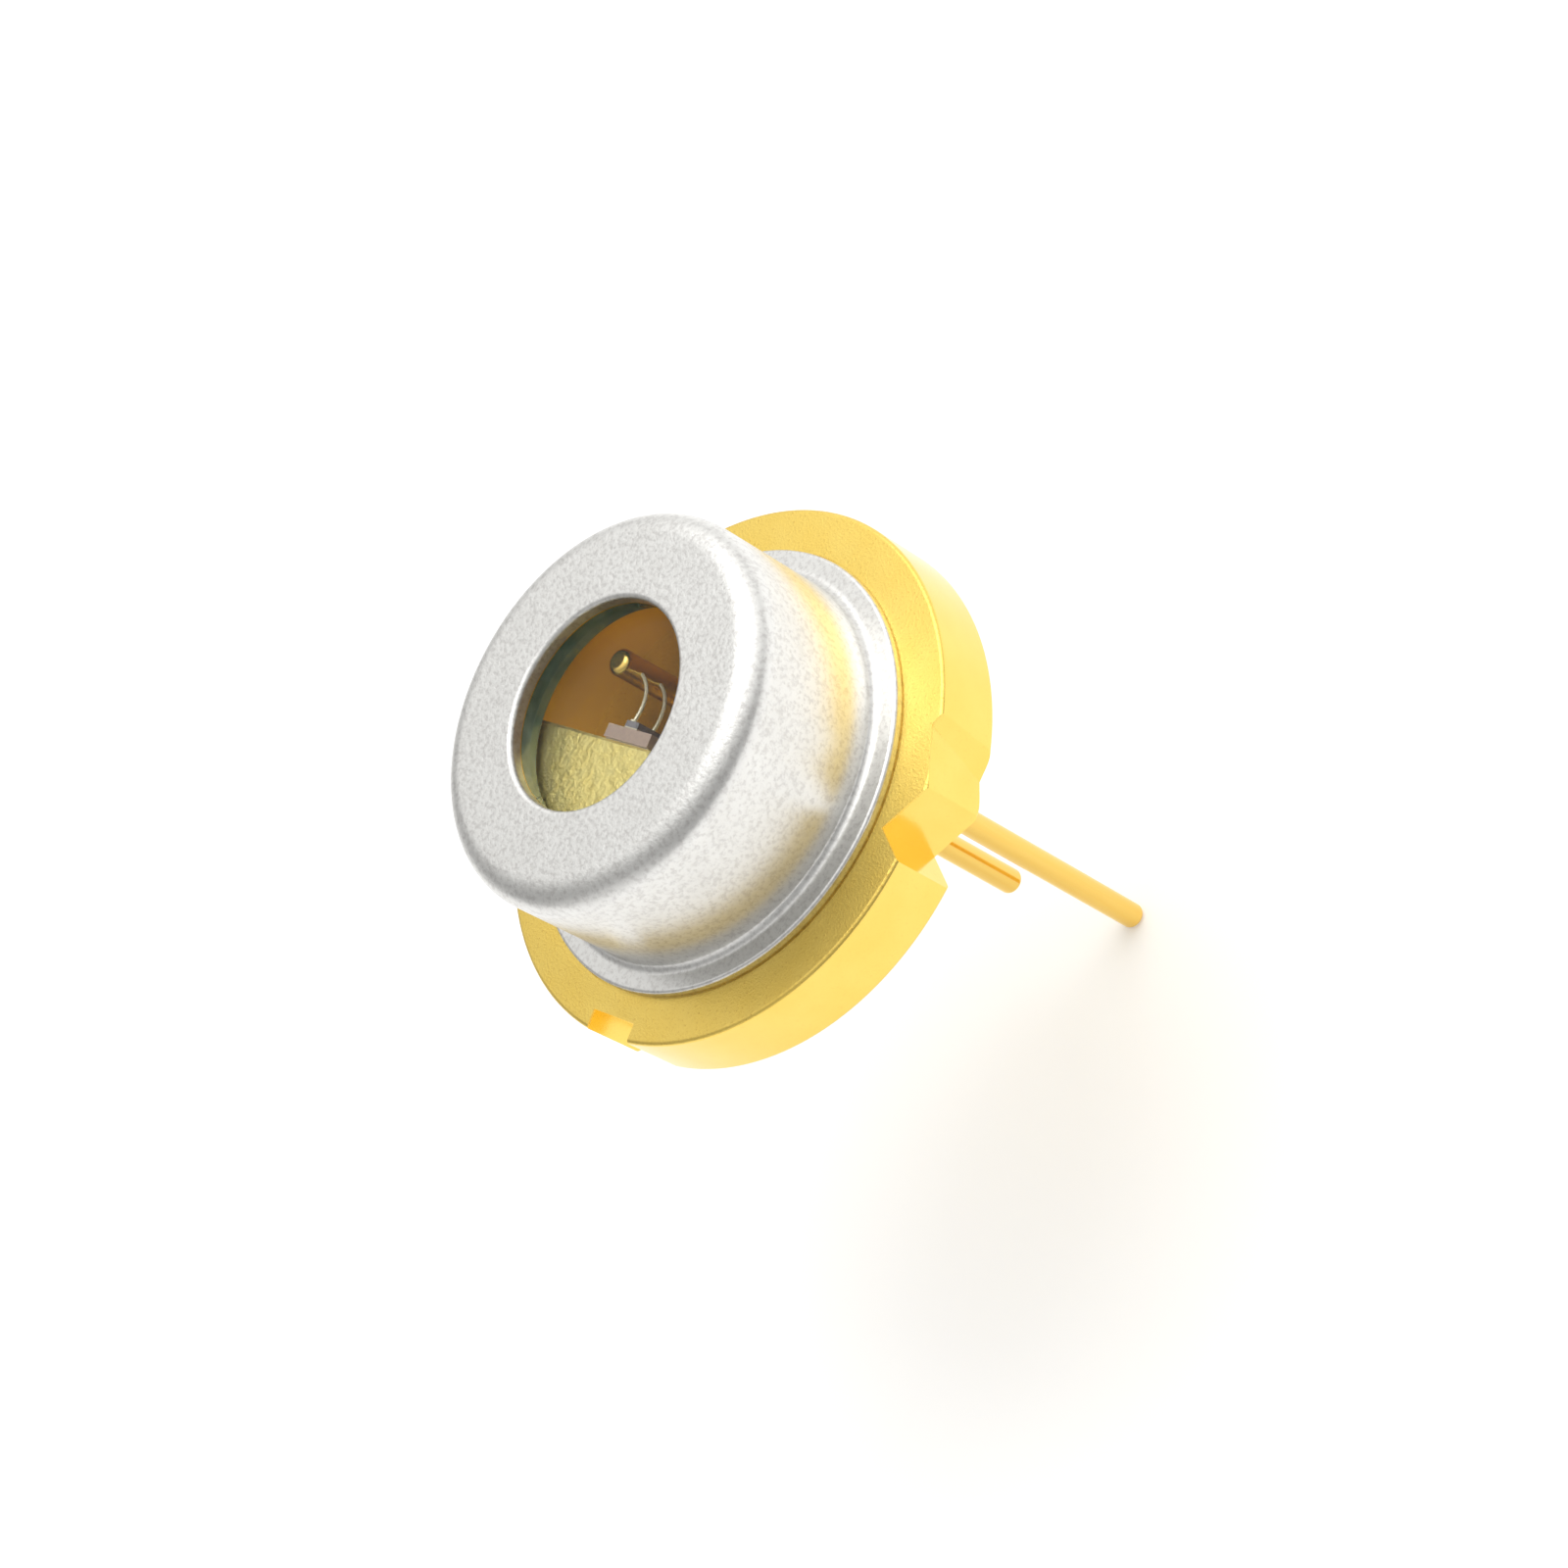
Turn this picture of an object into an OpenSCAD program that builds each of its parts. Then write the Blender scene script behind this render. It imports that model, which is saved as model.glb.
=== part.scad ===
// Laser diode in a round window can, in millimetres.
// The origin is the centre of the stem's front face, which is the reference face for the optics.
// +Z runs along the beam, out through the window. The index notch is on the -Y side of the stem,
// the two V notches are on the X axis and the case lead is on the +Y side.

/* [Stem] */
// Diameter of the stem disc
stem_d = 9; // [8.6:0.05:10]
// Thickness of the stem disc
stem_t = 1.25; // [0.9:0.05:2]
// Rounding of the stem's front rim
stem_front_r = 0.07; // [0.02:0.01:0.15]
// Rounding of the stem's back rim
stem_back_r = 0.1; // [0.02:0.01:0.2]
// Depth of the coined seat that takes the cap, in the stem's front face
seat_depth = 0.03; // [0.02:0.01:0.06]
// Radial gap between the weld flange and the edge of its seat
seat_gap = 0.03; // [0.01:0.01:0.06]

/* [Notches] */
// Depth of each V notch at its root
v_notch_depth = 0.6; // [0.3:0.05:0.7]
// Full angle of each V notch, in degrees
v_notch_angle = 90; // [60:5:100]
// Width of the rectangular index notch
index_notch_w = 1; // [0.6:0.05:1.4]
// Depth of the rectangular index notch
index_notch_depth = 0.35; // [0.2:0.05:0.5]
// Greatest depth of the relief beside the +X V notch
relief_depth = 0.18; // [0.05:0.01:0.3]
// Polar angle at which the relief ends in a small step, in degrees from +X
relief_end_angle = 21.5; // [16:0.5:30]
// Angle that the slanted step spans, in degrees
relief_step_angle = 2; // [1:0.5:4]

/* [Cap] */
// Outer diameter of the can
cap_d = 6.57; // [6.4:0.01:6.9]
// Height of the can above the stem's front face
cap_h = 2.88; // [2.8:0.02:3.6]
// Thickness of the drawn sheet
cap_sheet = 0.25; // [0.15:0.01:0.3]
// Outer rounding between the can's wall and its top
cap_edge_r = 0.45; // [0.32:0.01:0.6]
// Outer diameter of the weld flange
flange_d = 7.44; // [7.3:0.01:7.8]
// Thickness of the weld flange, pressed thinner than the sheet
flange_t = 0.21; // [0.12:0.01:0.3]
// Rounding of the flange's rim
flange_edge_r = 0.06; // [0.02:0.01:0.1]
// Fillet between the flange and the can's wall
flange_root_r = 0.14; // [0.05:0.01:0.2]
// Diameter of the window opening
aperture_d = 3.48; // [3:0.02:3.6]
// Rounding of the window opening's front edge
aperture_edge_r = 0.08; // [0.02:0.01:0.12]

/* [Window] */
// Thickness of the glass pane
pane_t = 0.4; // [0.2:0.02:0.5]
// How far the pane reaches under the sheet all round
pane_overlap = 0.06; // [0.04:0.02:0.3]
// Radial width of the solder-glass ring round the pane
seal_w = 0.6; // [0.3:0.02:0.7]
// Radius of the hollow in the ring's lower outer corner
seal_hollow_r = 0.3; // [0.05:0.01:0.35]
// Least thickness of the ring at the ends of the hollow
seal_land = 0.04; // [0.02:0.01:0.08]

/* [Heat sink] */
// Diameter of the block's round back
block_d = 4.9; // [4:0.1:5.4]
// Height of the block's end face above the stem's front face
block_top = 1.85; // [1.5:0.05:2]
// Chamfer along the block's upper edges
block_chamfer = 0.05; // [0.02:0.01:0.1]
// Thickness of the braze foil under the block
braze_t = 0.03; // [0.02:0.01:0.06]

/* [Submount and chip] */
// Width of the submount across the block's flat
submount_w = 1.05; // [0.6:0.05:1.5]
// Thickness of the submount
submount_t = 0.22; // [0.15:0.01:0.3]
// Length of the submount along the beam
submount_l = 1.2; // [1:0.05:1.4]
// Distance of the submount's front edge behind the block's end face
submount_setback = 0.02; // [0:0.01:0.1]
// Width of the laser chip
chip_w = 0.3; // [0.2:0.01:0.5]
// Thickness of the laser chip
chip_t = 0.1; // [0.08:0.01:0.15]
// Length of the laser chip, which is its cavity
chip_l = 0.9; // [0.7:0.05:1]
// Height of the emitting stripe above the chip's underside
emitter_h = 0.05; // [0.02:0.01:0.08]
// Thickness of each solder layer
solder_t = 0.02; // [0.01:0.01:0.04]

/* [Leads] */
// Diameter of both leads
lead_d = 0.45; // [0.4:0.01:0.5]
// Diameter of the circle on which the leads stand
lead_pcd = 2.54; // [2.4:0.02:2.8]
// Angle between the two leads, seen from the stem's centre
lead_pitch_angle = 45; // [42:1:60]
// Length of the case lead below the stem's back face
case_lead_l = 8.9; // [4:0.1:12]
// Length of the signal lead below the stem's back face
signal_lead_l = 6.7; // [4:0.1:12]
// Height of the signal lead's inner end above the stem's front face
signal_post_h = 1.87; // [1.7:0.01:2]
// Rounding of the leads' ends
lead_end_r = 0.1; // [0.03:0.01:0.15]
// How much thinner the signal lead's radius is at its waist, halfway through the glass bead
lead_waist = 0.01; // [0.005:0.005:0.03]

/* [Lead joints] */
// Diameter of the glass-filled hole round the signal lead
seal_hole_d = 1; // [0.8:0.05:1.1]
// How far the bead's rim lies below the stem's faces
seal_recess = 0.06; // [0.02:0.01:0.12]
// Diameter of the flat head that the case lead has in the stem's back
case_head_d = 0.78; // [0.6:0.01:0.8]
// Thickness of the case lead's head
case_head_t = 0.3; // [0.2:0.05:0.6]
// Gap round and over the head in its blind hole, filled with braze
case_gap = 0.02; // [0.01:0.005:0.03]

/* [Bond wires] */
// Diameter of the bond wires
wire_d = 0.06; // [0.03:0.01:0.08]
// Distance of the front wire's foot behind the chip's front facet
wire_inset = 0.08; // [0.06:0.01:0.15]
// Distance between the wires' feet along the chip
wire_pitch = 0.42; // [0.2:0.01:0.45]
// How much lower a wire lands on the lead than it leaves the chip
wire_drop = 0.27; // [0.1:0.01:0.35]
// Bow of each wire away from a straight line
wire_bow = 0.14; // [0.08:0.01:0.2]
// Distance of the wires' feet from the chip's centre line
wire_offset = 0.08; // [0:0.01:0.08]
// Where the wires land round the lead, in degrees from +X
wire_landing_angle = -10; // [-25:1:5]
// Diameter of the round bond under each wire's foot
bond_d = 0.12; // [0.08:0.01:0.14]
// Height of the round bond
bond_h = 0.03; // [0.02:0.01:0.05]

/* [Hidden] */
$fn = 96;

// How far a cutting tool runs past the faces that it cuts
past = 0.5;

// Stem and its rim
stem_r = stem_d / 2;
v_root_r = stem_r - v_notch_depth;
v_mouth_angle = atan(v_notch_depth * tan(v_notch_angle / 2) / stem_r);
index_floor_r = stem_r - index_notch_depth;

// Cap, opening and window, from the top down
cap_r = cap_d / 2;
cap_inner_r = cap_r - cap_sheet;
flange_r = flange_d / 2;
seat_z = -seat_depth;
bead_mid_z = (seat_z - stem_t) / 2;
aperture_r = aperture_d / 2;
cap_ceiling = cap_h - cap_sheet;
pane_r = aperture_r + pane_overlap;
pane_bottom = cap_ceiling - pane_t;
// The ring stays on the flat part of the can's ceiling, and its hollow inside the ring's section
seal_r = min(pane_r + seal_w, cap_r - cap_edge_r);
seal_hollow = min(seal_hollow_r, pane_t - seal_land, seal_r - pane_r - seal_land);

// The chip's emitting stripe lies on the stem's axis, so the stack behind it sets the block's flat
chip_y = -emitter_h;
chip_top_y = chip_y + chip_t;
submount_y = chip_y - solder_t - submount_t;
block_y = submount_y - solder_t;
block_r = block_d / 2;
block_base = seat_z + braze_t;
submount_top = block_top - submount_setback;

// Leads
lead_r = lead_d / 2;
waist_r = lead_r - lead_waist;
case_pos = [0, lead_pcd / 2];
signal_pos = lead_pcd / 2 * [-sin(lead_pitch_angle), cos(lead_pitch_angle)];
case_head_r = case_head_d / 2;

// Bond wires, from the chip to the signal lead
wire_foot_xy = [-wire_offset, chip_top_y];
wire_end_xy = signal_pos + lead_r * [cos(wire_landing_angle), sin(wire_landing_angle)];

function unit(v) = v / norm(v);
// The part of v that is square to the unit vector along
function square_to(v, along) = unit(v - (v * along) * along);

// Half section of a disc from z = -height to 0, with its two rims rounded
module disc_section(radius, height, front_r, back_r) {
    translate([0, -height]) square([radius - max(front_r, back_r), height]);
    translate([0, back_r - height]) square([radius, height - front_r - back_r]);
    translate([0, -front_r - back_r]) square([radius - front_r, front_r + back_r]);
    if (front_r > 0) translate([radius - front_r, -front_r]) circle(front_r);
    if (back_r > 0) translate([radius - back_r, back_r - height]) circle(back_r);
}

// A V with its root at the origin and its mouth towards +X
module v_outline(length, angle) {
    half_mouth = length * tan(angle / 2);
    polygon([[0, 0], [length, -half_mouth], [length, half_mouth]]);
}

function polar(radius, angle) = radius * [cos(angle), sin(angle)];

// The relief runs straight from inside the V notch's mouth to a slanted step
module relief_outline() {
    outer_r = stem_r + past;
    polygon([
        polar(stem_r - relief_depth, relief_end_angle),
        polar(stem_r, relief_end_angle + relief_step_angle),
        polar(outer_r, relief_end_angle + relief_step_angle),
        polar(outer_r, 0),
        polar(stem_r, v_mouth_angle / 2)
    ]);
}

// Everything that is cut into the stem's rim
module rim_cuts() {
    for (side = [0, 180])
        rotate(side) translate([v_root_r, 0]) v_outline(v_notch_depth + past, v_notch_angle);
    translate([-index_notch_w / 2, -index_floor_r - index_notch_depth - past])
        square([index_notch_w, index_notch_depth + past]);
    relief_outline();
}

module stem() {
    color("gold")
    difference() {
        rotate_extrude() disc_section(stem_r, stem_t, stem_front_r, stem_back_r);
        translate([0, 0, seat_z]) cylinder(r = flange_r + seat_gap, h = past);
        translate([0, 0, -stem_t - past]) linear_extrude(stem_t + 2 * past) rim_cuts();
        translate([signal_pos.x, signal_pos.y, -stem_t - past])
            cylinder(r = seal_hole_d / 2, h = stem_t + 2 * past);
        translate([case_pos.x, case_pos.y, -stem_t - past])
            cylinder(r = case_head_r + case_gap, h = case_head_t + case_gap + past);
    }
}

// Half section of the can's bent top corner
module cap_corner_section() {
    intersection() {
        difference() {
            circle(cap_edge_r);
            circle(cap_edge_r - cap_sheet);
        }
        square(cap_edge_r);
    }
}

// Half section of the weld flange from its underside, with its rounded rim and the wall's fillet
module flange_section() {
    translate([cap_inner_r, 0]) square([flange_r - flange_edge_r - cap_inner_r, flange_t]);
    translate([cap_inner_r, 0]) square([flange_r - cap_inner_r, flange_t - flange_edge_r]);
    translate([flange_r - flange_edge_r, flange_t - flange_edge_r]) circle(flange_edge_r);
    difference() {
        translate([cap_r - cap_sheet / 2, flange_t]) square([flange_root_r + cap_sheet / 2, flange_root_r]);
        translate([cap_r + flange_root_r, flange_t + flange_root_r]) circle(flange_root_r);
    }
}

// Half section of the can's wall and its flat top, up to the opening's rounded edge
module cap_wall_section() {
    translate([cap_inner_r, seat_z]) square([cap_sheet, cap_h - cap_edge_r - seat_z]);
    translate([cap_r - cap_edge_r, cap_h - cap_edge_r]) cap_corner_section();
    top_start = aperture_r + aperture_edge_r;
    translate([top_start, cap_ceiling]) square([cap_r - cap_edge_r - top_start, cap_sheet]);
    translate([aperture_r, cap_ceiling]) square([aperture_edge_r, cap_sheet - aperture_edge_r]);
    translate([top_start, cap_h - aperture_edge_r]) circle(aperture_edge_r);
}

module cap() {
    color("silver")
    rotate_extrude() {
        translate([0, seat_z]) flange_section();
        cap_wall_section();
    }
}

module window_pane() {
    color("lightcyan", 0.4)
    translate([0, 0, pane_bottom]) cylinder(r = pane_r, h = pane_t);
}

// The ring fills the corner between the pane's edge and the underside of the can's top
module window_seal() {
    color("darkslategray")
    rotate_extrude()
    difference() {
        translate([pane_r, pane_bottom]) square([seal_r - pane_r, pane_t]);
        translate([seal_r, pane_bottom]) circle(seal_hollow);
    }
}

// The block's outline: a round disc cut flat behind the submount
module block_outline() {
    intersection() {
        circle(block_r);
        translate([-block_r, -block_r]) square([block_d, block_r + block_y]);
    }
}

module block_braze() {
    color("goldenrod")
    translate([0, 0, seat_z]) linear_extrude(braze_t) block_outline();
}

// The block stands on the braze foil, and a chamfer runs round its end face
module heat_sink_block() {
    color("gold")
    intersection() {
        rotate_extrude() block_round_section();
        rotate([90, 0, 90]) translate([0, 0, -block_r]) linear_extrude(block_d) block_flat_section();
    }
}

// Half section of the block's round back
module block_round_section() {
    polygon([[0, block_base], [block_r, block_base], [block_r, block_top - block_chamfer],
        [block_r - block_chamfer, block_top], [0, block_top]]);
}

// Section of the space behind the block's flat, with the flat's upper edge chamfered
module block_flat_section() {
    polygon([[-block_r, block_base], [block_y, block_base], [block_y, block_top - block_chamfer],
        [block_y - block_chamfer, block_top], [-block_r, block_top]]);
}

// A layer of the stack in front of the block, hung from its front edge
module stack_layer(width, from_y, thickness, top, length) {
    translate([-width / 2, from_y, top - length]) cube([width, thickness, length]);
}

module submount_solder() {
    color("khaki") stack_layer(submount_w, block_y, solder_t, submount_top - block_chamfer,
        submount_l - block_chamfer);
}

module submount() {
    color("gray") stack_layer(submount_w, submount_y, submount_t, submount_top, submount_l);
}

module chip_solder() {
    color("khaki") stack_layer(chip_w, chip_y - solder_t, solder_t, submount_top, chip_l);
}

module laser_chip() {
    color("darkslateblue") stack_layer(chip_w, chip_y, chip_t, submount_top, chip_l);
}

// A round rod bent to an arc from start to end, bowing out by bow towards bow_dir
module arc_rod(start, end, bow_dir, bow, diameter) {
    chord = norm(end - start);
    along = unit(end - start);
    out = square_to(bow_dir, along);
    side = cross(along, out);
    arc_r = (chord * chord / 4 + bow * bow) / (2 * bow);
    half_angle = asin(chord / 2 / arc_r);
    multmatrix([
        [along.x, out.x, side.x, start.x],
        [along.y, out.y, side.y, start.y],
        [along.z, out.z, side.z, start.z],
        [0, 0, 0, 1]
    ])
        translate([chord / 2, bow - arc_r, 0])
            rotate(90 - half_angle)
                rotate_extrude(angle = 2 * half_angle)
                    translate([arc_r, 0]) circle(d = diameter, $fn = 24);
}

// A bond wire: a round foot on the chip, and an arc that lands on the signal lead's side
module bond_wire(foot_z) {
    foot = [wire_foot_xy.x, wire_foot_xy.y, foot_z];
    landing = [wire_end_xy.x, wire_end_xy.y, foot_z - wire_drop];
    color("gold")
    difference() {
        union() {
            arc_rod(foot + [0, bond_h / 2, 0], landing, [1, 0, 0], wire_bow, wire_d);
            translate(foot) rotate([-90, 0, 0]) cylinder(d = bond_d, h = bond_h, $fn = 32);
        }
        translate([signal_pos.x, signal_pos.y, 0]) cylinder(r = lead_r, h = signal_post_h);
    }
}

module bond_wire_front() {
    bond_wire(submount_top - wire_inset);
}

module bond_wire_rear() {
    bond_wire(submount_top - wire_inset - wire_pitch);
}

// A round rod from z = bottom to top, with the ends' rims rounded by bottom_r and top_r
module rod(bottom, top, bottom_r, top_r) {
    translate([0, 0, top]) rotate_extrude($fn = 48) disc_section(lead_r, top - bottom, top_r, bottom_r);
}

// The signal lead runs through the stem, and is very slightly waisted inside its bead
module signal_lead() {
    color("gold")
    translate([signal_pos.x, signal_pos.y, 0])
    difference() {
        rod(-stem_t - signal_lead_l, signal_post_h, lead_end_r, lead_end_r);
        rotate_extrude($fn = 48)
            polygon([[lead_r, seat_z], [waist_r, bead_mid_z], [lead_r, -stem_t], [lead_r + past, bead_mid_z]]);
    }
}

// The glass bead creeps up the lead and falls away to the hole's wall
module lead_seal() {
    hole_r = seal_hole_d / 2;
    color("teal")
    translate([signal_pos.x, signal_pos.y, 0])
        rotate_extrude()
            polygon([[lead_r, seat_z], [hole_r, seat_z - seal_recess],
                [hole_r, seal_recess - stem_t], [lead_r, -stem_t], [waist_r, bead_mid_z]]);
}

// The case lead hangs from a flat head that is sunk flush in the stem's back
module case_lead() {
    color("gold")
    translate([case_pos.x, case_pos.y, -stem_t])
    union() {
        cylinder(r = case_head_r, h = case_head_t);
        rod(-case_lead_l, case_head_t, lead_end_r, 0);
    }
}

// Braze fills the blind hole round and over the case lead's head
module case_lead_braze() {
    color("goldenrod")
    translate([case_pos.x, case_pos.y, -stem_t])
    difference() {
        cylinder(r = case_head_r + case_gap, h = case_head_t + case_gap);
        translate([0, 0, -past]) cylinder(r = case_head_r, h = case_head_t + past);
    }
}

stem();
cap();
window_pane();
window_seal();
block_braze();
heat_sink_block();
submount_solder();
submount();
chip_solder();
laser_chip();
bond_wire_front();
bond_wire_rear();
signal_lead();
lead_seal();
case_lead();
case_lead_braze();
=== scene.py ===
import math

import bmesh
import bpy
from mathutils import Matrix, Vector


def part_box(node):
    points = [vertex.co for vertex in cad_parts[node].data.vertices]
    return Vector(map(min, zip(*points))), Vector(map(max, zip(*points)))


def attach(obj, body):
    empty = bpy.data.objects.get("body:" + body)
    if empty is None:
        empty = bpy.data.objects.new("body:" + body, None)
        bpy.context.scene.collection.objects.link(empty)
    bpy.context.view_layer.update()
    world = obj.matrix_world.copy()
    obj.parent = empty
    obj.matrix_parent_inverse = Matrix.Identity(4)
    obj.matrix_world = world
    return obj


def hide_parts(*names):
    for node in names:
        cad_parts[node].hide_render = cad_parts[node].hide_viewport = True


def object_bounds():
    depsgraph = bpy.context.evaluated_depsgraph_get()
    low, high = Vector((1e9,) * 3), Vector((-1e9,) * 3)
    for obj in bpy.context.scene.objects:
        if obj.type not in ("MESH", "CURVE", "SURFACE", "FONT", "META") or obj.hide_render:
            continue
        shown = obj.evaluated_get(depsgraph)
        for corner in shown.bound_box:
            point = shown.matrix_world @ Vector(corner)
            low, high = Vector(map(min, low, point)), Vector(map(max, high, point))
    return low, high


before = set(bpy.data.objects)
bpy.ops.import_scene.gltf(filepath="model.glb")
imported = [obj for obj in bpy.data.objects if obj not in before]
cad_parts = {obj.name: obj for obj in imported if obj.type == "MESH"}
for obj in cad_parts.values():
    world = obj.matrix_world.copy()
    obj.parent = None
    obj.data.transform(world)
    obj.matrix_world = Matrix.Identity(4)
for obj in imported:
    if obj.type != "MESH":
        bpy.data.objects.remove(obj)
cad_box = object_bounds()

MM = 0.001

# Camera, in the part's frame: angles in degrees, the azimuth from +X and the roll from upright
CAMERA_AIM = Vector((1.512, 0.095, 0)) * MM
CAMERA_DISTANCE = 58.315 * MM
CAMERA_AZIMUTH = -8.781
CAMERA_ELEVATION = 41.670
CAMERA_ROLL = -61.042
CAMERA_LENS = 87.33
CAMERA_SENSOR = 36

# The can's profile, as in the part's source (mm)
CAP_SHEET = 0.25
CAP_EDGE_R = 0.45
CAP_R = 3.285
FLANGE_T = 0.21
FLANGE_EDGE_R = 0.06
FLANGE_ROOT_R = 0.14
APERTURE_R = 1.74
APERTURE_EDGE_R = 0.08

# The stem's profile and cuts, as in the part's source (mm, degrees)
STEM_FRONT_R = 0.07
STEM_BACK_R = 0.10
SEAT_R = 3.75
V_DEPTH = 0.60
V_HALF_MOUTH = 7.2
INDEX_W = 1.0
INDEX_DEPTH = 0.35
RELIEF_DEPTH = 0.18
RELIEF_END = 21.5
RELIEF_STEP = 2.0
SEAL_HOLE_R = 0.5
CASE_HOLE_R = 0.41
CASE_HOLE_DEPTH = 0.32

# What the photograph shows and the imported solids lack: the V notch that faces the camera leans,
# the relief's step slants towards the back, and the solder glass hangs lower than the pane
V_ROOT_ANGLE = -2.0
V_UPPER_MOUTH = 8.2
V_LOWER_MOUTH = -7.0
RELIEF_END_BACK = 15.5
RELIEF_STEP_BACK = 6.0
SEAL_DROP = 0.24
SEAL_FOOT_R = 0.05

# Optical contact: how far the glass reaches into the metal and solder glass that hold it (mm)
GLASS_CONTACT = 0.003

# Mesh fineness, and the angle in degrees up to which edges are shaded smooth
RING_SEGMENTS = 288
HOLE_SEGMENTS = 96
RELIEF_PARTS = 24
LONG_ARC_PARTS = 220
SHORT_ARC_PARTS = 116
CREASE = 25
SEAL_CREASE = 40

# How far a cutter stands past what it cuts (mm)
PAST = 1

# The studio: levels are radiances, where 1 is white
FLOOR_HALF = 300
FLOOR_LIFT = 0.22
SKY_BRIGHT_SIDE = Vector((-0.10, 0.60, 0.80)).normalized()
SKY_DARK_LEVEL = 0.40
SKY_BRIGHT_LEVEL = 1.30
SKY_HORIZON = Vector((0.05, -1.0, -0.05)).normalized()
SKY_HORIZON_LIFT = 0.42
KEY_DIRECTION = (-0.02, 0.50, 0.86)
KEY_DISTANCE = 90
KEY_SIZE = 62
KEY_LEVEL = 1.9


# ---------------------------------------------------------------- shader helpers

class Shader:
    """A material with a Principled shader, and short calls that add nodes to it."""

    def __init__(self, name):
        self.material = bpy.data.materials.new(name)
        self.material.use_nodes = True
        self.tree = self.material.node_tree
        self.surface = self.tree.nodes["Principled BSDF"]
        self.position = self.add("ShaderNodeNewGeometry").outputs["Position"]

    def add(self, kind, **settings):
        node = self.tree.nodes.new(kind)
        for key, value in settings.items():
            setattr(node, key, value)
        return node

    def feed(self, socket, value):
        """Link a socket to another node's output, or set it to a plain value."""
        if isinstance(value, bpy.types.NodeSocket):
            self.tree.links.new(value, socket)
        elif socket.type == "RGBA":
            socket.default_value = (*value, 1)
        else:
            socket.default_value = value

    def set(self, **sockets):
        for key, value in sockets.items():
            self.feed(self.surface.inputs[key.replace("_", " ")], value)

    def noise(self, size_mm, detail=3, roughness=0.5, stretch=(1, 1, 1)):
        """Noise from 0 to 1 with features of about this size."""
        mapping = self.add("ShaderNodeMapping")
        self.feed(mapping.inputs["Vector"], self.position)
        mapping.inputs["Scale"].default_value = [1 / (size_mm * MM * s) for s in stretch]
        node = self.add("ShaderNodeTexNoise")
        self.feed(node.inputs["Vector"], mapping.outputs["Vector"])
        self.feed(node.inputs["Scale"], 1.0)
        self.feed(node.inputs["Detail"], detail)
        self.feed(node.inputs["Roughness"], roughness)
        return node.outputs["Fac"]

    def span(self, value, low, high, to_low=0.0, to_high=1.0):
        """Map a value from low..high to to_low..to_high, clamped, with soft ends."""
        node = self.add("ShaderNodeMapRange", interpolation_type="SMOOTHSTEP")
        inputs = {"Value": value, "From Min": low, "From Max": high, "To Min": to_low, "To Max": to_high}
        for key, level in inputs.items():
            self.feed(node.inputs[key], level)
        return node.outputs["Result"]

    def math(self, operation, a, b=0.0):
        """One arithmetic step on numbers."""
        node = self.add("ShaderNodeMath", operation=operation)
        self.feed(node.inputs[0], a)
        self.feed(node.inputs[1], b)
        return node.outputs[0]

    def mix(self, factor, a, b):
        """Blend two colours."""
        node = self.add("ShaderNodeMix", data_type="RGBA")
        self.feed(node.inputs["Factor"], factor)
        self.feed(node.inputs["A"], a)
        self.feed(node.inputs["B"], b)
        return node.outputs["Result"]

    def axis(self, name):
        """One coordinate of the surface point, in metres."""
        node = self.add("ShaderNodeSeparateXYZ")
        self.feed(node.inputs[0], self.position)
        return node.outputs[name]

    def radius(self):
        """Distance of the surface point from the part's axis, in metres."""
        x, y = (self.math("MULTIPLY", self.axis(n), self.axis(n)) for n in "XY")
        return self.math("SQRT", self.math("ADD", x, y))

    def bump(self, height, depth_mm, strength):
        """A normal that follows a height from 0 to 1, this many millimetres deep."""
        node = self.add("ShaderNodeBump")
        self.feed(node.inputs["Height"], height)
        self.feed(node.inputs["Distance"], depth_mm * MM)
        self.feed(node.inputs["Strength"], strength)
        return node.outputs["Normal"]


def dress(shader, *nodes):
    """Give a material to CAD nodes."""
    for name in nodes:
        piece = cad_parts[name]
        piece.data.materials.clear()
        piece.data.materials.append(shader.material)


# ---------------------------------------------------------------- materials

def stem_gold():
    """Smooth gold on the side, and a grainy front with fine pits."""
    s = Shader("stem_gold")
    front = s.span(s.axis("Z"), -0.06 * MM, -0.01 * MM)
    grain = s.noise(0.045, 4, 0.65)
    cloud = s.noise(0.7, 3)
    tone = s.mix(cloud, (0.92, 0.64, 0.13), (0.98, 0.73, 0.19))
    pits = s.math("MULTIPLY", s.span(grain, 0.57, 0.70), s.span(front, 0, 1, 0.15, 0.6))
    s.set(Base_Color=s.mix(pits, tone, (0.62, 0.34, 0.05)), Metallic=1.0)
    s.set(Roughness=s.span(front, 0, 1, 0.17, 0.33))
    s.set(Normal=s.bump(grain, 0.010, s.span(front, 0, 1, 0.08, 0.8)))
    return s


def block_gold():
    """Crinkled plating on the heat-sink block."""
    s = Shader("block_gold")
    patch = s.noise(0.22, 4, 0.6)
    s.set(Base_Color=s.mix(patch, (1.0, 0.76, 0.18), (1.0, 0.90, 0.42)), Metallic=0.7)
    s.set(Roughness=s.span(patch, 0.3, 0.7, 0.35, 0.55))
    s.set(Normal=s.bump(s.noise(0.16, 5, 0.6), 0.05, 0.9))
    return s


def lead_gold():
    """Plated wire with faint drawing lines along it."""
    s = Shader("lead_gold")
    draw = s.noise(0.05, 2, 0.5, (1, 1, 30))
    s.set(Base_Color=s.mix(draw, (0.88, 0.58, 0.13), (0.95, 0.66, 0.19)), Metallic=1.0)
    s.set(Roughness=s.span(draw, 0.3, 0.7, 0.16, 0.26))
    return s


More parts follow.
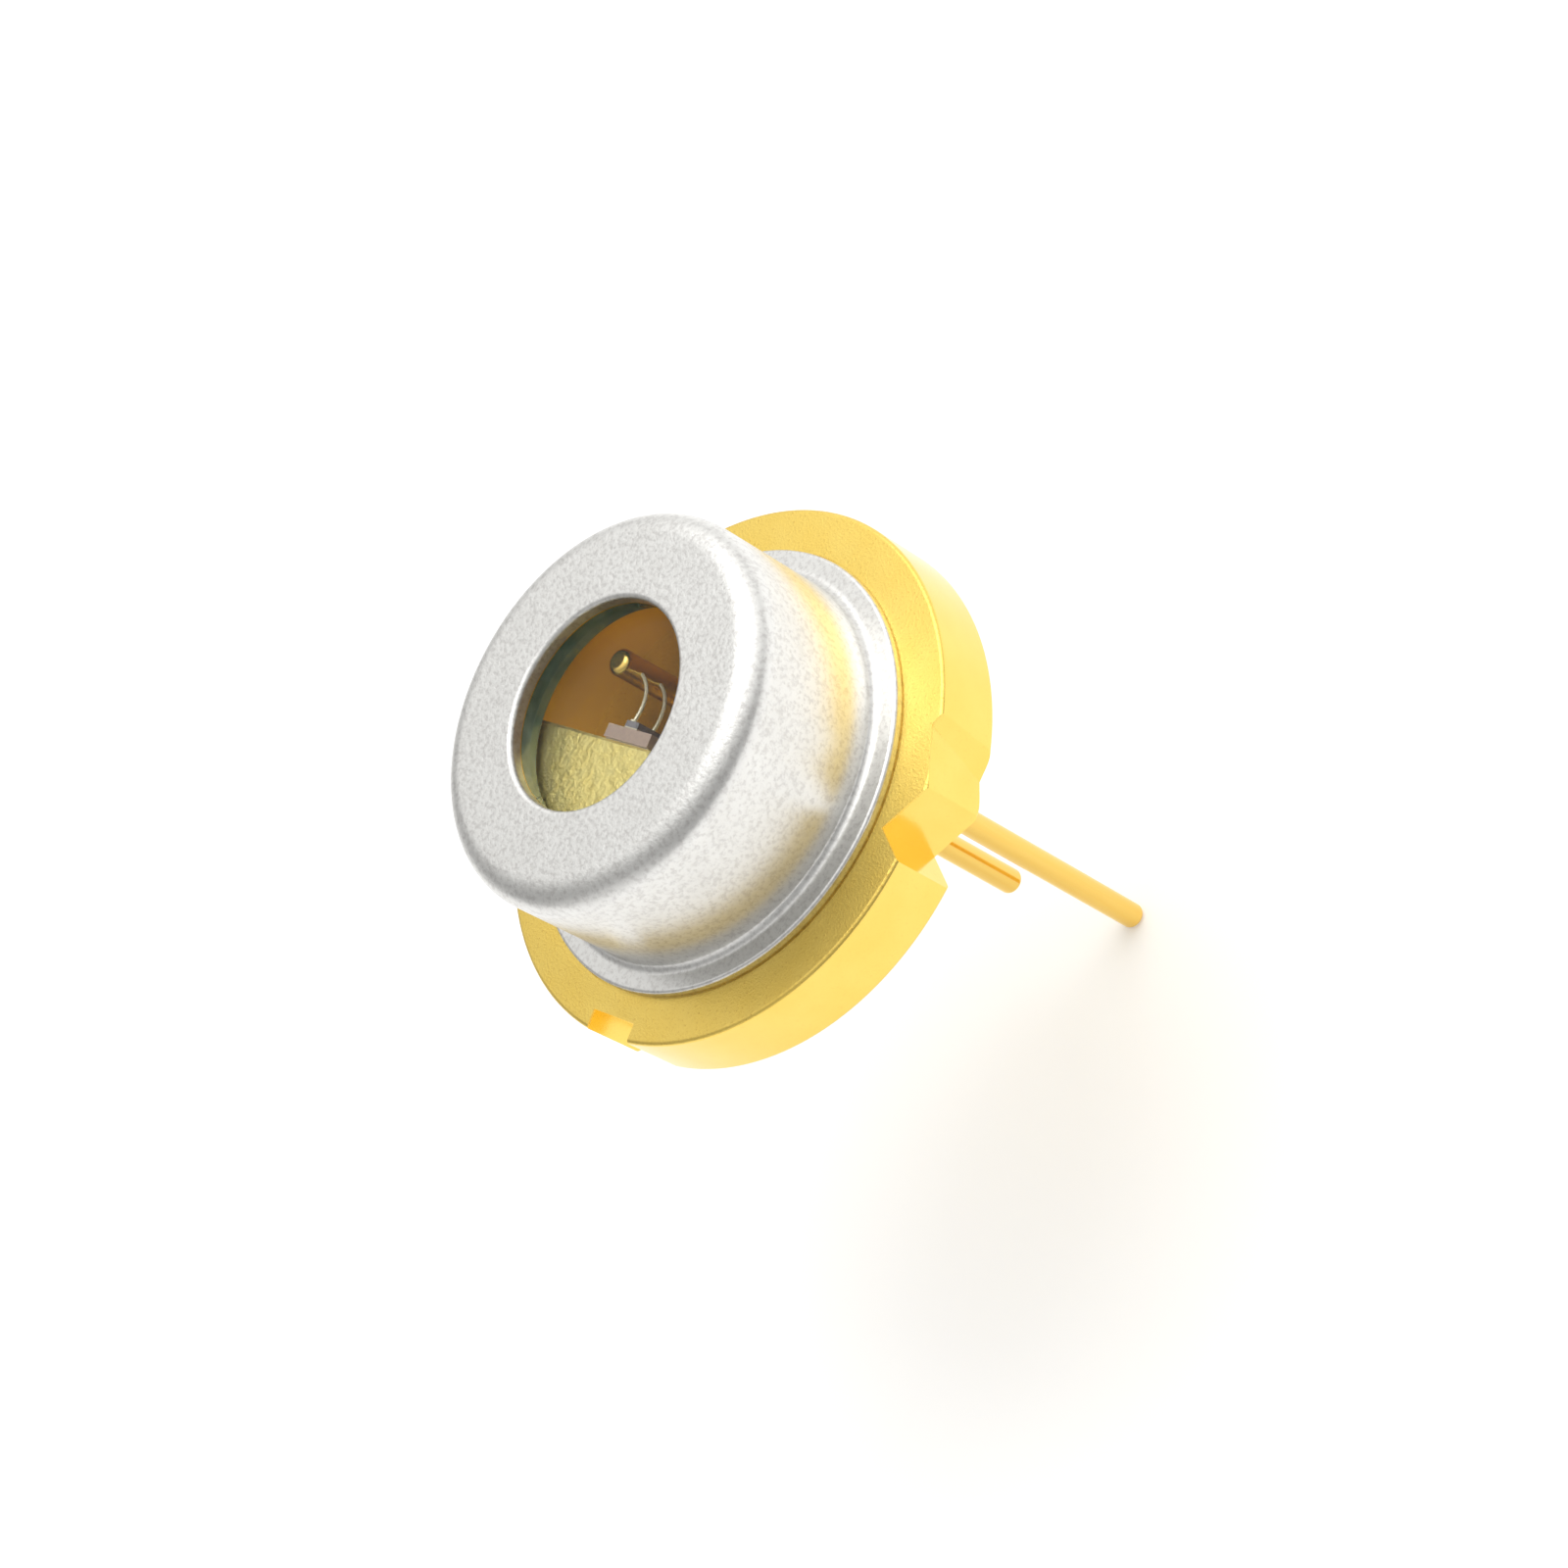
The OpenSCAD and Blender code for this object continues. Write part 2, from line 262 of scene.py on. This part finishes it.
def cap_nickel():
    """Matt, finely grained nickel, rougher on top than on the wall, with a painted warm reflection on
    the inside.
    """
    s = Shader("cap_nickel")
    height = s.axis("Z")
    top = s.span(height, 2.6 * MM, 2.87 * MM)
    grain = s.noise(0.085, 4, 0.65)
    fleck = s.noise(0.16, 3, 0.6)
    cloud = s.noise(0.6, 4)
    plate = s.mix(cloud, (0.77, 0.76, 0.73), (0.88, 0.875, 0.845))
    plate = s.mix(s.span(grain, 0.34, 0.56, 0.5, 0), plate, (0.52, 0.50, 0.48))
    plate = s.mix(s.span(fleck, 0.56, 0.72, 0, 0.25), plate, (0.62, 0.60, 0.56))
    # The inside wall and ceiling carry a painted reflection: warm gold that stands in for the gold
    # header's glow, as the photograph shows it through the window
    inside_wall = s.span(s.radius(), 3.09 * MM, 3.05 * MM)
    under_top = s.span(height, 2.66 * MM, 2.635 * MM)
    inner = s.math("MULTIPLY", inside_wall, under_top)
    s.set(Base_Color=s.mix(inner, plate, (0.95, 0.62, 0.15)), Metallic=1.0)
    s.set(Roughness=s.span(top, 0, 1, 0.31, 0.40))
    s.set(Normal=s.bump(grain, 0.012, s.span(top, 0, 1, 0.15, 0.8)))
    return s


def plain(name, low, high, size_mm, metallic, rough, coat=0.0):
    """A small part's finish: two close tones in a fine noise."""
    s = Shader(name)
    s.set(Base_Color=s.mix(s.noise(size_mm), low, high), Metallic=metallic, Roughness=rough)
    if coat:
        s.set(Coat_Weight=coat, Coat_Roughness=0.05)
    return s


def window_glass():
    """Clear glass with a coating against reflections."""
    s = Shader("window_glass")
    s.set(Base_Color=s.mix(s.noise(1.5), (0.97, 0.985, 0.98), (0.985, 0.99, 0.985)))
    s.set(Transmission_Weight=1.0, Roughness=0.0, IOR=1.3, Specular_Tint=(0.12, 0.12, 0.16))
    return s


# ---------------------------------------------------------------- pieces

def arc(cx, cy, radius, start, end, steps=10):
    """Points on an arc, angles in degrees, with a close point in front of and behind it."""
    points = []
    for i in range(steps + 1):
        a = math.radians(start + (end - start) * i / steps)
        points.append((cx + radius * math.cos(a), cy + radius * math.sin(a)))
    lead = 0.12 * radius * (1 if end > start else -1)
    first, last = math.radians(start), math.radians(end)
    before = (points[0][0] + lead * math.sin(first), points[0][1] - lead * math.cos(first))
    after = (points[-1][0] - lead * math.sin(last), points[-1][1] + lead * math.cos(last))
    return [before, *points, after]


def new_piece(name, vertices, faces):
    """A piece from points in mm, with its faces turned outwards."""
    mesh = bpy.data.meshes.new(name)
    mesh.from_pydata(vertices, [], faces)
    mesh.validate()
    shape = bmesh.new()
    shape.from_mesh(mesh)
    bmesh.ops.recalc_face_normals(shape, faces=shape.faces)
    shape.to_mesh(mesh)
    shape.free()
    piece = bpy.data.objects.new(name, mesh)
    bpy.context.scene.collection.objects.link(piece)
    return piece


def finish_piece(piece, material, node, crease=CREASE):
    """Scale a piece to metres, shade it, and let it stand for its CAD node."""
    piece.data.transform(Matrix.Scale(MM, 4))
    piece.data.shade_smooth()
    piece.data.set_sharp_from_angle(angle=math.radians(crease))
    piece.data.materials.clear()
    piece.data.materials.append(material)
    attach(piece, "root")
    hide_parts(node)


def turned(name, profile):
    """A ring-shaped piece from a closed outline of (radius, z) points in mm."""
    vertices = []
    for i in range(RING_SEGMENTS):
        a = 2 * math.pi * i / RING_SEGMENTS
        vertices += [(r * math.cos(a), r * math.sin(a), z) for r, z in profile]
    n = len(profile)
    faces = []
    for i in range(RING_SEGMENTS):
        here = i * n
        there = (i + 1) % RING_SEGMENTS * n
        for k in range(n):
            following = (k + 1) % n
            faces.append((here + k, here + following, there + following, there + k))
    return new_piece(name, vertices, faces)


def can():
    """The cap: flange, fillet, wall, bent corner, flat top and the opening's rounded edge."""
    low, high = (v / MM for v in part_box("cap"))
    inner = CAP_R - CAP_SHEET
    ceiling = high.z - CAP_SHEET
    bend_r, bend_z = CAP_R - CAP_EDGE_R, high.z - CAP_EDGE_R
    flange_top = low.z + FLANGE_T
    profile = [(inner, low.z), (high.x, low.z)]
    profile += arc(high.x - FLANGE_EDGE_R, flange_top - FLANGE_EDGE_R, FLANGE_EDGE_R, 0, 90)
    profile += arc(CAP_R + FLANGE_ROOT_R, flange_top + FLANGE_ROOT_R, FLANGE_ROOT_R, 270, 180)
    profile += arc(bend_r, bend_z, CAP_EDGE_R, 0, 90, 20)
    profile += arc(APERTURE_R + APERTURE_EDGE_R, high.z - APERTURE_EDGE_R, APERTURE_EDGE_R, 90, 180)
    profile += [(APERTURE_R, ceiling)]
    profile += arc(bend_r, bend_z, CAP_EDGE_R - CAP_SHEET, 90, 0)
    piece = turned("can", profile)
    finish_piece(piece, cap_nickel().material, "cap")


def solder_glass():
    """The seal ring, with the drop of glass that hangs below the pane's edge."""
    low, high = (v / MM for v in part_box("window_seal"))
    pane_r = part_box("window_pane")[1].x / MM
    foot = low.z - SEAL_DROP
    profile = [(pane_r, high.z), (high.x, high.z), (high.x, low.z + 0.1)]
    profile += [(high.x - 0.12, low.z - 0.05), (high.x - 0.28, foot + 0.04)]
    profile += arc(pane_r + 2 * SEAL_FOOT_R, foot + SEAL_FOOT_R, SEAL_FOOT_R, 270, 180)[1:-1]
    profile += [(pane_r, low.z - 0.02), (pane_r, low.z)]
    material = plain("seal_glass", (0.03, 0.09, 0.055), (0.30, 0.42, 0.31), 0.4, 0.0, 0.15, 0.6).material
    finish_piece(turned("solder_glass_ring", profile), material, "window_seal", SEAL_CREASE)


def on_circle(radius, angle):
    """The point at this radius and angle in degrees."""
    return Vector((radius * math.cos(math.radians(angle)), radius * math.sin(math.radians(angle))))


def cross(start, end, radius):
    """Where the line from start to end reaches a distance from the axis."""
    near, far = 0.0, 1.3
    for _ in range(40):
        middle = (near + far) / 2
        if start.lerp(end, middle).length < radius:
            near = middle
        else:
            far = middle
    return start.lerp(end, near)


def sweep(radius, start, end, parts):
    """The points that part an arc, without its two ends."""
    return [on_circle(radius, start + (end - start) * i / parts) for i in range(1, parts)]


def angle_of(point):
    """A point's angle, from 0 to 360 degrees."""
    return math.degrees(math.atan2(point.y, point.x)) % 360


def stem_outline(stem_r, radius, depth):
    """The stem's outline where the disc has this radius; depth runs from 0 in front to 1 at the back."""
    root_r = stem_r - V_DEPTH
    root = on_circle(root_r, V_ROOT_ANGLE)
    upper = cross(root, on_circle(stem_r, V_UPPER_MOUTH), radius)
    lower = cross(root, on_circle(stem_r, V_LOWER_MOUTH), radius)
    relief_end = RELIEF_END + (RELIEF_END_BACK - RELIEF_END) * depth
    start = on_circle(stem_r, V_UPPER_MOUTH)
    bottom = on_circle(stem_r - RELIEF_DEPTH, relief_end)
    step_angle = RELIEF_STEP + (RELIEF_STEP_BACK - RELIEF_STEP) * depth
    step = cross(bottom, on_circle(stem_r, relief_end + step_angle), radius)
    points = [root, upper]
    for i in range(1, RELIEF_PARTS):
        p = start.lerp(bottom, i / RELIEF_PARTS)
        points.append(p if p.length < radius else p.normalized() * radius)
    points += [bottom, step]
    far_root = Vector((-root_r, 0))
    far_upper = cross(far_root, on_circle(stem_r, 180 - V_HALF_MOUTH), radius)
    far_lower = cross(far_root, on_circle(stem_r, 180 + V_HALF_MOUTH), radius)
    points += sweep(radius, angle_of(step), angle_of(far_upper), LONG_ARC_PARTS)
    points += [far_upper, far_root, far_lower]
    half = INDEX_W / 2
    mouth_y = -math.sqrt(radius ** 2 - half ** 2)
    floor_y = -(stem_r - INDEX_DEPTH)
    corners = ((-half, mouth_y), (-half, floor_y), (half, floor_y), (half, mouth_y))
    index = [Vector(corner) for corner in corners]
    points += sweep(radius, angle_of(far_lower), angle_of(index[0]), SHORT_ARC_PARTS)
    points += index
    points += sweep(radius, angle_of(index[3]), angle_of(lower), SHORT_ARC_PARTS)
    points.append(lower)
    return points


def cut(piece, cutter):
    """Take one closed mesh out of another, and delete the cutter."""
    modifier = piece.modifiers.new("cut", "BOOLEAN")
    modifier.operation = "DIFFERENCE"
    modifier.solver = "EXACT"
    modifier.object = cutter
    depsgraph = bpy.context.evaluated_depsgraph_get()
    mesh = bpy.data.meshes.new_from_object(piece.evaluated_get(depsgraph))
    piece.modifiers.clear()
    piece.data = mesh
    bpy.data.objects.remove(cutter)


def drum(name, x, y, radius, low, high, segments=HOLE_SEGMENTS):
    """A closed cylinder."""
    turns = [2 * math.pi * i / segments for i in range(segments)]
    ring = [(x + radius * math.cos(a), y + radius * math.sin(a)) for a in turns]
    vertices = [(*p, low) for p in ring] + [(*p, high) for p in ring]
    faces = [tuple(range(segments))[::-1], tuple(range(segments, 2 * segments))]
    for i in range(segments):
        j = (i + 1) % segments
        faces.append((i, j, segments + j, segments + i))
    return new_piece(name, vertices, faces)


def disc():
    """The stem, with its notches, its relief, the seat for the can and the two lead holes."""
    low, high = (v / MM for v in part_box("stem"))
    stem_r = max(high.x, -low.x, high.y)
    thick = -low.z
    levels = arc(stem_r - STEM_FRONT_R, -STEM_FRONT_R, STEM_FRONT_R, 90, 0)[1:]
    levels += arc(stem_r - STEM_BACK_R, STEM_BACK_R - thick, STEM_BACK_R, 0, -90)[:-1]
    loops = [stem_outline(stem_r, r, -z / thick) for r, z in levels]
    n = len(loops[0])
    vertices = [(p.x, p.y, z) for loop, (_, z) in zip(loops, levels) for p in loop]
    faces = [tuple(range(n)), tuple(range((len(loops) - 1) * n, len(loops) * n))[::-1]]
    for row in range(len(loops) - 1):
        for i in range(n):
            j = (i + 1) % n
            here, there = row * n, (row + 1) * n
            faces.append((here + i, there + i, there + j, here + j))
    piece = new_piece("stem_disc", vertices, faces)
    seat_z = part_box("cap")[0].z / MM
    cut(piece, drum("seat_cut", 0, 0, SEAT_R, seat_z, PAST, RING_SEGMENTS))
    seal = sum(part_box("lead_seal"), Vector()) / 2 / MM
    case = sum(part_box("case_lead"), Vector()) / 2 / MM
    cut(piece, drum("seal_cut", seal.x, seal.y, SEAL_HOLE_R, -thick - PAST, PAST))
    cut(piece, drum("case_cut", case.x, case.y, CASE_HOLE_R, -thick - PAST, CASE_HOLE_DEPTH - thick))
    finish_piece(piece, stem_gold().material, "stem")


def glass_pane():
    """The window, which wets its seat: its skin lies just inside the metal and the solder glass."""
    low, high = (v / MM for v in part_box("window_pane"))
    radius = high.x + GLASS_CONTACT
    piece = drum("window_glass_pane", 0, 0, radius, low.z, high.z + GLASS_CONTACT, RING_SEGMENTS)
    finish_piece(piece, window_glass().material, "window_pane")


def dress_part():
    """Finishes for the CAD nodes that show as they are."""
    braze = plain("braze", (0.70, 0.56, 0.30), (0.82, 0.68, 0.40), 0.05, 1.0, 0.3)
    solder = plain("solder", (0.62, 0.55, 0.42), (0.72, 0.64, 0.48), 0.05, 1.0, 0.4)
    ceramic = plain("submount_ceramic", (0.46, 0.33, 0.27), (0.62, 0.46, 0.36), 0.08, 0.0, 0.45)
    crystal = plain("chip_crystal", (0.20, 0.18, 0.19), (0.28, 0.26, 0.27), 0.05, 0.0, 0.2)
    wire = plain("wire_gold", (1.0, 0.90, 0.62), (1.0, 0.94, 0.72), 0.1, 0.25, 0.25)
    bead = plain("bead_glass", (0.03, 0.06, 0.08), (0.05, 0.10, 0.12), 0.2, 0.0, 0.12, 0.5)
    dress(block_gold(), "heat_sink_block")
    dress(lead_gold(), "signal_lead", "case_lead")
    dress(braze, "block_braze", "case_lead_braze")
    dress(solder, "submount_solder", "chip_solder")
    dress(ceramic, "submount")
    dress(crystal, "laser_chip")
    dress(wire, "bond_wire_front", "bond_wire_rear")
    dress(bead, "lead_seal")


# ---------------------------------------------------------------- floor, light and camera

def floor():
    """A plain pale floor at the foot of the part."""
    half = FLOOR_HALF * MM
    z = cad_box[0].z
    mesh = bpy.data.meshes.new("floor")
    corners = [(-half, -half, z), (half, -half, z), (half, half, z), (-half, half, z)]
    mesh.from_pydata(corners, [], [(0, 1, 2, 3)])
    piece = bpy.data.objects.new("floor", mesh)
    bpy.context.scene.collection.objects.link(piece)
    s = Shader("floor_white")
    s.set(Base_Color=s.mix(s.noise(40), (0.93, 0.93, 0.93), (0.94, 0.94, 0.94)), Roughness=0.8)
    s.set(Specular_IOR_Level=0.0)
    # Camera, metal and glass see the floor white; the light that it sends on stays plain
    path = s.add("ShaderNodeLightPath").outputs
    seen = s.math("MAXIMUM", path["Is Camera Ray"], path["Is Glossy Ray"])
    seen = s.math("MAXIMUM", seen, path["Is Transmission Ray"])
    s.set(Emission_Color=(1, 1, 1), Emission_Strength=s.math("MULTIPLY", seen, FLOOR_LIFT))
    mesh.materials.append(s.material)


def sky():
    """A soft white surround, brightest on one side, which gives the metal its shading."""
    world = bpy.data.worlds.new("studio")
    bpy.context.scene.world = world
    world.use_nodes = True
    nodes, links = world.node_tree.nodes, world.node_tree.links
    toward = nodes.new("ShaderNodeTexCoord").outputs["Generated"]

    def glow(side, start, end, low, high):
        """A soft rise from low to high as the direction comes nearer to a side."""
        near = nodes.new("ShaderNodeVectorMath")
        near.operation = "DOT_PRODUCT"
        near.inputs[1].default_value = side
        links.new(toward, near.inputs[0])
        rise = nodes.new("ShaderNodeMapRange")
        rise.interpolation_type = "SMOOTHSTEP"
        inputs = {"From Min": start, "From Max": end, "To Min": low, "To Max": high}
        for key, value in inputs.items():
            rise.inputs[key].default_value = value
        links.new(near.outputs["Value"], rise.inputs["Value"])
        return rise.outputs["Result"]

    total = nodes.new("ShaderNodeMath")
    total.operation = "ADD"
    links.new(glow(SKY_BRIGHT_SIDE, 0.2, 1.0, SKY_DARK_LEVEL, SKY_BRIGHT_LEVEL), total.inputs[0])
    links.new(glow(SKY_HORIZON, 0.75, 1.0, 0.0, SKY_HORIZON_LIFT), total.inputs[1])
    background = nodes["Background"]
    background.inputs["Color"].default_value = (1, 1, 1, 1)
    links.new(total.outputs[0], background.inputs["Strength"])


def softbox(name, direction, distance_mm, size_mm, strength):
    """A square area lamp that faces the part; its strength is the radiance that a mirror would show."""
    data = bpy.data.lights.new(name, "AREA")
    data.shape = "SQUARE"
    data.size = size_mm * MM
    data.energy = strength * math.pi * data.size ** 2
    lamp = bpy.data.objects.new(name, data)
    bpy.context.scene.collection.objects.link(lamp)
    toward = Vector(direction).normalized()
    lamp.location = toward * distance_mm * MM
    lamp.rotation_euler = toward.to_track_quat("Z", "Y").to_euler()


def camera():
    """The photograph's viewpoint."""
    azimuth, elevation, roll = (math.radians(a) for a in (CAMERA_AZIMUTH, CAMERA_ELEVATION, CAMERA_ROLL))
    level = math.cos(elevation)
    back = Vector((math.cos(azimuth) * level, math.sin(azimuth) * level, math.sin(elevation)))
    level_right = Vector((0, 0, 1)).cross(back).normalized()
    level_up = back.cross(level_right)
    right = level_right * math.cos(roll) + level_up * math.sin(roll)
    up = back.cross(right)
    data = bpy.data.cameras.new("camera")
    data.lens = CAMERA_LENS
    data.sensor_width = CAMERA_SENSOR
    data.clip_start = 1 * MM
    data.clip_end = 10
    cam = bpy.data.objects.new("camera", data)
    bpy.context.scene.collection.objects.link(cam)
    turn = Matrix((right, up, back)).transposed().to_4x4()
    cam.matrix_world = Matrix.Translation(CAMERA_AIM + back * CAMERA_DISTANCE) @ turn
    bpy.context.scene.camera = cam


bpy.context.scene.view_settings.view_transform = "Standard"
dress_part()
disc()
can()
solder_glass()
glass_pane()
floor()
sky()
softbox("key", KEY_DIRECTION, KEY_DISTANCE, KEY_SIZE, KEY_LEVEL)
camera()
